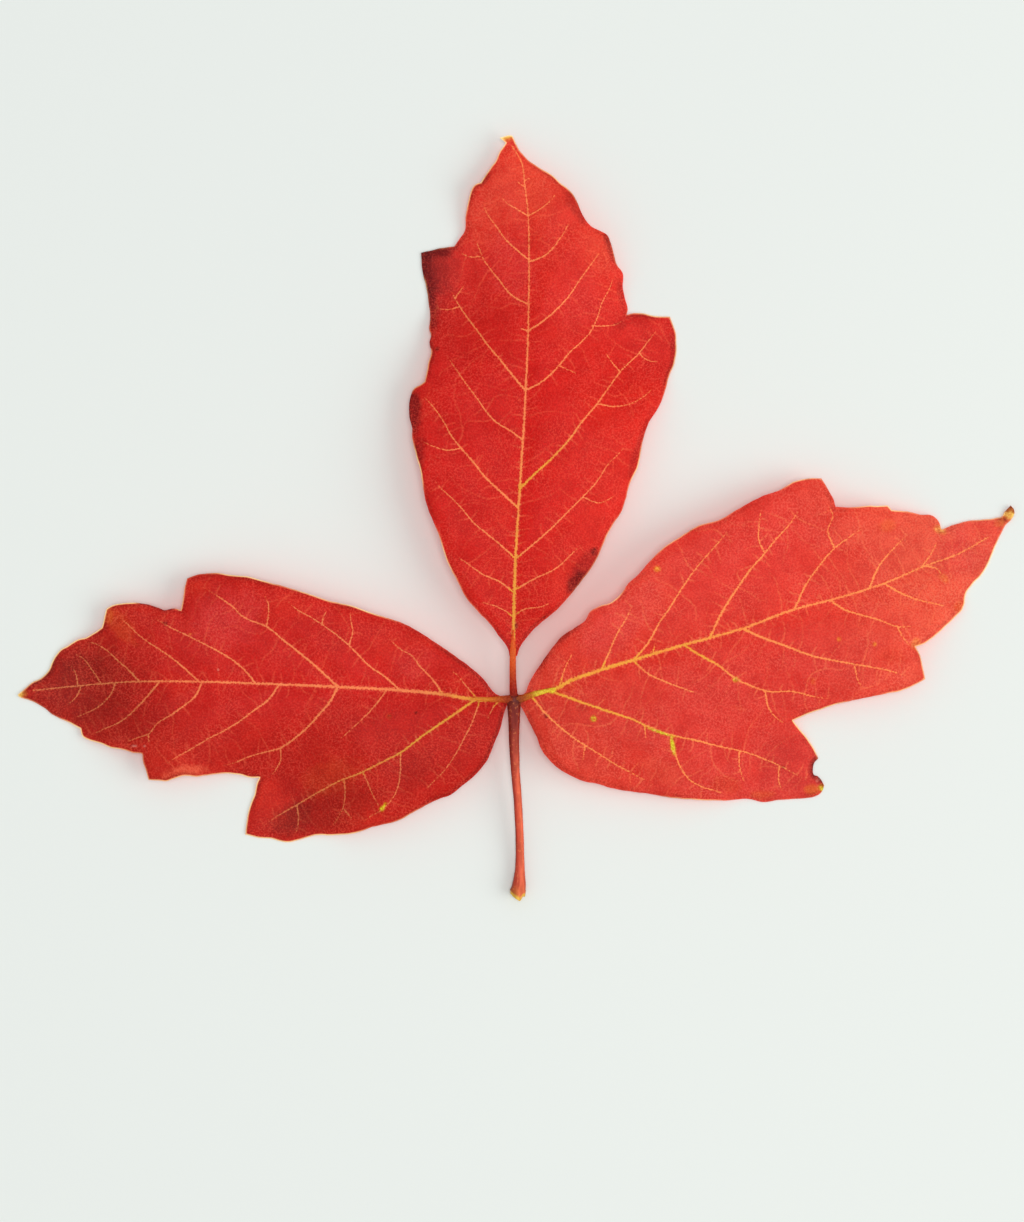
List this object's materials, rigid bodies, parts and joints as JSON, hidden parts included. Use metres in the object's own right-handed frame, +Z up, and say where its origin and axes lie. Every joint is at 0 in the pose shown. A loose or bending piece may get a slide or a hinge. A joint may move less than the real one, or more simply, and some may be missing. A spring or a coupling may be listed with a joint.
{
  "type": "maple leaf",
  "caption": "Red autumn maple leaf with toothed leaflets on one slender stalk, gently arched, lying face up.",
  "frame": {"origin": "centre of the leaf's bounding box, on the surface that it lies on", "axes": "+X towards the right leaflet's side, +Y towards the end leaflet's tip, +Z up from the surface"},
  "size_m": [0.1204, 0.0925, 0.0061],
  "materials": {
    "leaflet_end": "satin red leaf blade",
    "leaflet_left": "satin dark red leaf blade",
    "leaflet_right": "satin light red leaf blade",
    "petiole": "smooth maroon leaf stalk"
  },
  "bodies": {
    "root": {"leaflet_end": "leaflet_end", "leaflet_left": "leaflet_left", "leaflet_right": "leaflet_right", "petiole": "petiole"}
  },
  "joints": []
}
